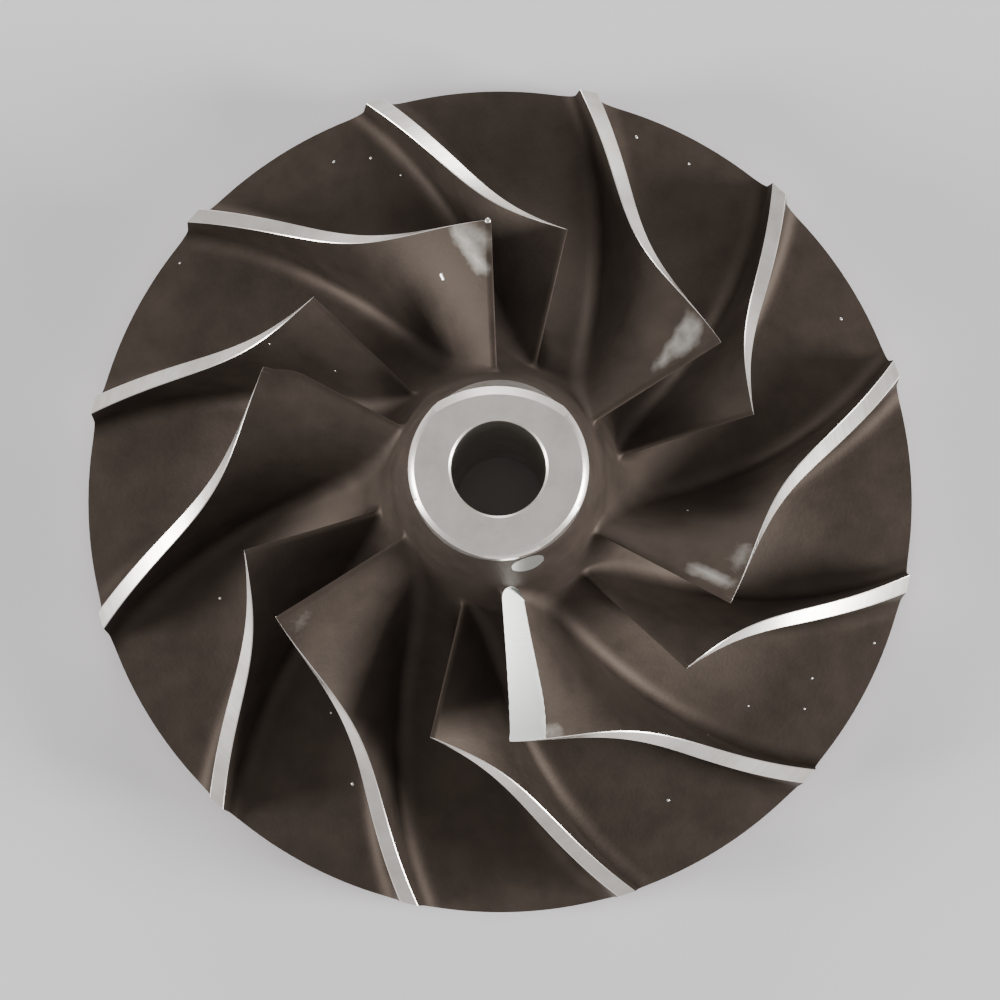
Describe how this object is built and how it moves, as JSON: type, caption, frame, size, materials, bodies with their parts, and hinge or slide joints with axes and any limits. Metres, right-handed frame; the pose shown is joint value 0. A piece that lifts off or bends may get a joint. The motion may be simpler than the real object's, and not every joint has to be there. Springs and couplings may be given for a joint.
{
  "type": "compressor wheel",
  "caption": "Cast aluminium radial compressor wheel with swept full blades, splitter blades between them and a plain central bore.",
  "frame": {"origin": "on the bore's axis at the back boss face, which the wheel stands on", "axes": "+Z along the bore's axis from the back boss to the nose; +X and +Y square to it, +Y towards the deep balancing cut on the nose"},
  "size_m": [0.06, 0.06, 0.0268],
  "materials": {
    "cast_aluminium": "as-cast, dulled, with turned blade tips, nose and rim"
  },
  "bodies": {
    "root": {"compressor_wheel": "cast_aluminium"}
  },
  "joints": []
}
